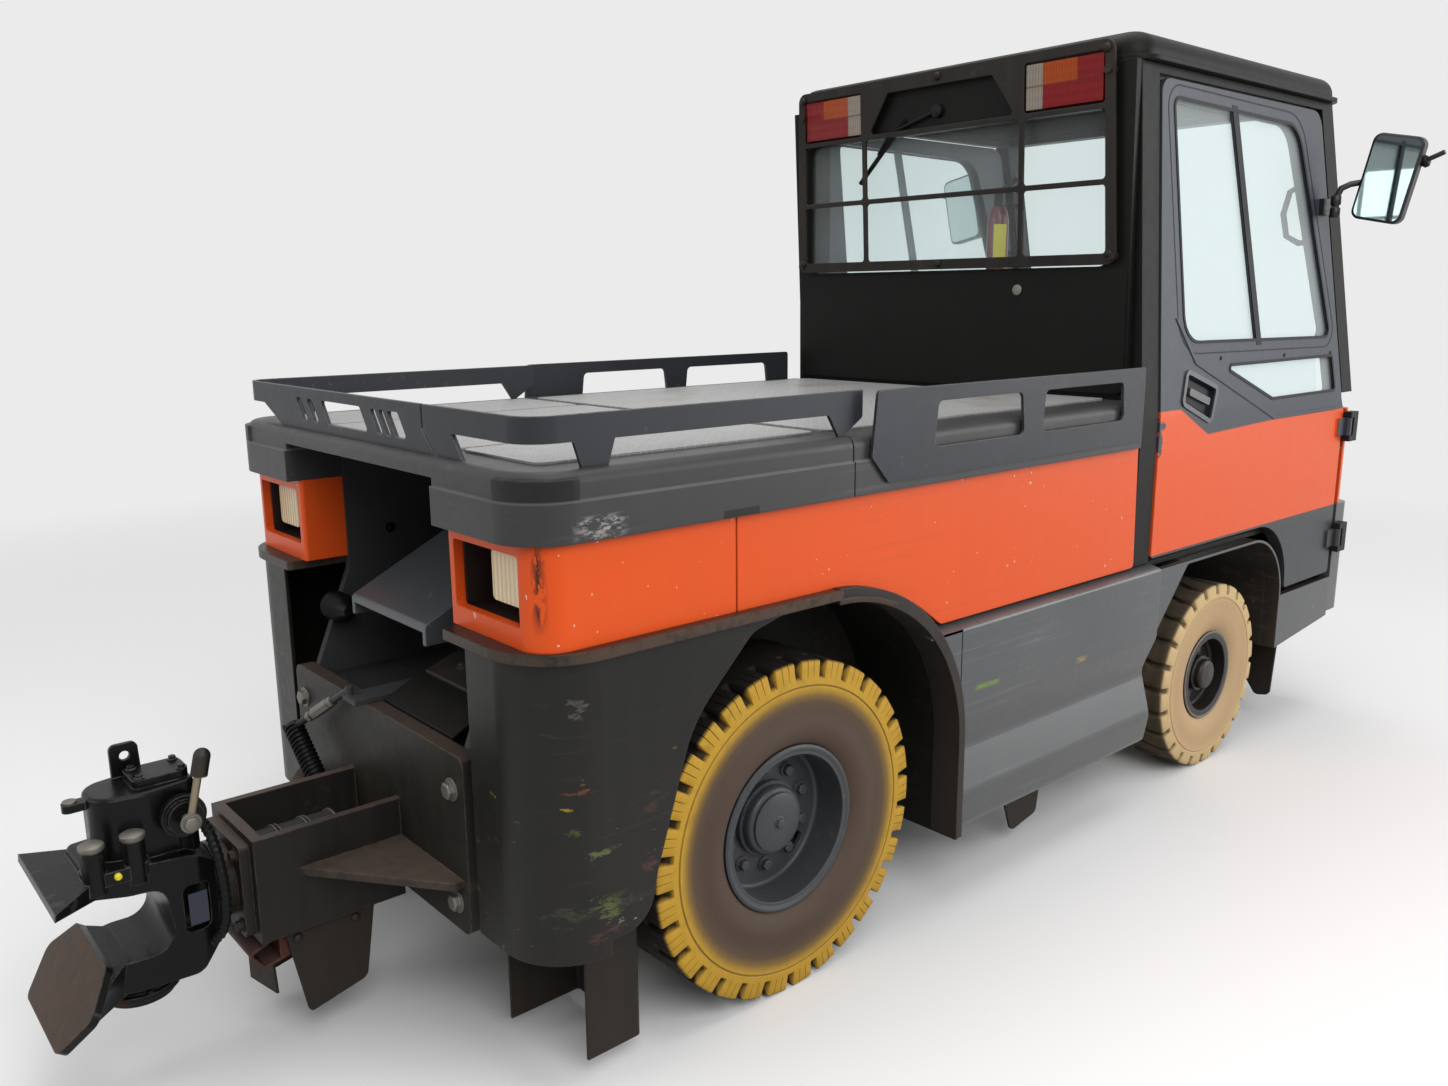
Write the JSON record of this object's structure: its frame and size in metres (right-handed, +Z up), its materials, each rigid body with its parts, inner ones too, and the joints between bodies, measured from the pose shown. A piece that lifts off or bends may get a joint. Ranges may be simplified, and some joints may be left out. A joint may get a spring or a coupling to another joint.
{
  "type": "airport tow tractor",
  "caption": "Electric airport tow tractor with a closed two-door cab, a low cargo deck with rails over the battery, steered front wheels and an automatic tow coupling at the rear.",
  "frame": {"origin": "on the ground below the middle of the overall length, on the middle plane", "axes": "X forward, Y to the left, Z up"},
  "size_m": [4.035, 1.885, 2.13],
  "materials": {
    "frame_black": "satin black paint",
    "battery_grey": "grey paint",
    "cast_black": "painted casting",
    "lever_steel": "worn steel",
    "buffer_grey": "grey rubber springs",
    "fender_grey": "dark grey paint, worn",
    "body_orange": "orange-red semi-gloss paint",
    "tray_black": "matt black",
    "lamp_clear": "ribbed clear lens",
    "sill_slate": "slate grey paint",
    "cover_black": "moulded black cover",
    "tread_grey": "grey chequer plate",
    "rail_black": "black paint with bright edges",
    "flap_rubber": "black rubber",
    "tyre_rear": "solid rubber",
    "tyre_front": "solid rubber, dusty",
    "rim_grey": "dark grey paint",
    "cab_charcoal": "charcoal paint",
    "glass_clear": "clear tinted glass",
    "lamp_red": "amber and red lens",
    "seat_black": "black seat cover",
    "dash_black": "matt black",
    "mirror_black": "black shell"
  },
  "bodies": {
    "chassis": {"chassis_frame": "frame_black", "battery_block": "battery_grey", "tow_frame": "frame_black", "tow_buffer": "buffer_grey", "rear_fenders": "fender_grey", "corner_panels": "body_orange", "lamp_trays": "tray_black", "reversing_lamps": "lamp_clear", "side_panels": "body_orange", "sills": "sill_slate", "deck_cover_rear": "cover_black", "deck_cover_front": "cover_black", "tread_plates": "tread_grey", "rear_rails": "rail_black", "side_guards": "rail_black", "recess_cover": "frame_black", "recess_linkage": "frame_black", "mud_flaps": "flap_rubber", "splash_guards": "flap_rubber", "rear_axle": "frame_black", "front_axle": "frame_black", "front_fenders": "fender_grey", "cab_floor": "frame_black", "cab_frame": "cab_charcoal", "cab_rear_wall": "cab_charcoal", "rear_glass": "glass_clear", "rear_guard": "rail_black", "tail_lamps": "lamp_red", "cab_roof": "cab_charcoal", "windscreen": "glass_clear", "nose_panel": "body_orange", "front_bumper": "sill_slate", "head_lamps": "lamp_clear", "door_hinges": "frame_black", "seat_base": "frame_black", "seats": "seat_black", "dashboard": "dash_black", "steering_wheel": "dash_black"},
    "coupling": {"coupling_head": "cast_black", "coupling_lever": "lever_steel"},
    "knuckle_left": {"knuckle_left": "frame_black"},
    "knuckle_right": {"knuckle_right": "frame_black"},
    "tie_rod": {"tie_rod": "lever_steel"},
    "wheel_rear_left": {"rear_tyre_left": "tyre_rear", "rear_rim_left": "rim_grey"},
    "wheel_front_left": {"front_tyre_left": "tyre_front", "front_rim_left": "rim_grey"},
    "door_left": {"door_left": "cab_charcoal", "door_glass_left": "glass_clear", "mirror_left": "mirror_black"},
    "wheel_rear_right": {"rear_tyre_right": "tyre_rear", "rear_rim_right": "rim_grey"},
    "wheel_front_right": {"front_tyre_right": "tyre_front", "front_rim_right": "rim_grey"},
    "door_right": {"door_right": "cab_charcoal", "door_glass_right": "glass_clear", "mirror_right": "mirror_black"}
  },
  "joints": [
    {"name": "rear_wheel_left_spin", "type": "hinge", "parent": "chassis", "child": "wheel_rear_left", "pos_m": [-0.7045, 0.515, 0.37], "axis": [0, 1, 0], "continuous": true},
    {"name": "steer_left", "type": "hinge", "parent": "chassis", "child": "knuckle_left", "pos_m": [1.1505, 0.414, 0.294], "axis": [0, 0, 1], "range_deg": [-35, 35]},
    {"name": "front_wheel_left_spin", "type": "hinge", "parent": "knuckle_left", "child": "wheel_front_left", "pos_m": [1.1505, 0.529, 0.294], "axis": [0, 1, 0], "continuous": true},
    {"name": "door_left_hinge", "type": "hinge", "parent": "chassis", "child": "door_left", "pos_m": [1.8865, 0.664, 0.838], "axis": [0, 0, -1], "range_deg": [0, 80]},
    {"name": "rear_wheel_right_spin", "type": "hinge", "parent": "chassis", "child": "wheel_rear_right", "pos_m": [-0.7045, -0.515, 0.37], "axis": [0, 1, 0], "continuous": true},
    {"name": "steer_right", "type": "hinge", "parent": "chassis", "child": "knuckle_right", "pos_m": [1.1505, -0.414, 0.294], "axis": [0, 0, 1], "range_deg": [-35, 35]},
    {"name": "front_wheel_right_spin", "type": "hinge", "parent": "knuckle_right", "child": "wheel_front_right", "pos_m": [1.1505, -0.529, 0.294], "axis": [0, 1, 0], "continuous": true},
    {"name": "door_right_hinge", "type": "hinge", "parent": "chassis", "child": "door_right", "pos_m": [1.8865, -0.664, 0.838], "axis": [0, 0, 1], "range_deg": [0, 80]},
    {"name": "tie_rod_pivot", "type": "hinge", "parent": "knuckle_left", "child": "tie_rod", "pos_m": [1.0205, 0.414, 0.202], "axis": [0, 0, 1], "range_deg": [-35, 35]},
    {"name": "coupling_swivel", "type": "hinge", "parent": "chassis", "child": "coupling", "pos_m": [-1.7575, 0, 0.36], "axis": [1, 0, 0], "range_deg": [-25, 25]}
  ],
  "couplings": [
    {"joint": "steer_right", "follows": "steer_left", "ratio": 1},
    {"joint": "tie_rod_pivot", "follows": "steer_left", "ratio": -1}
  ]
}
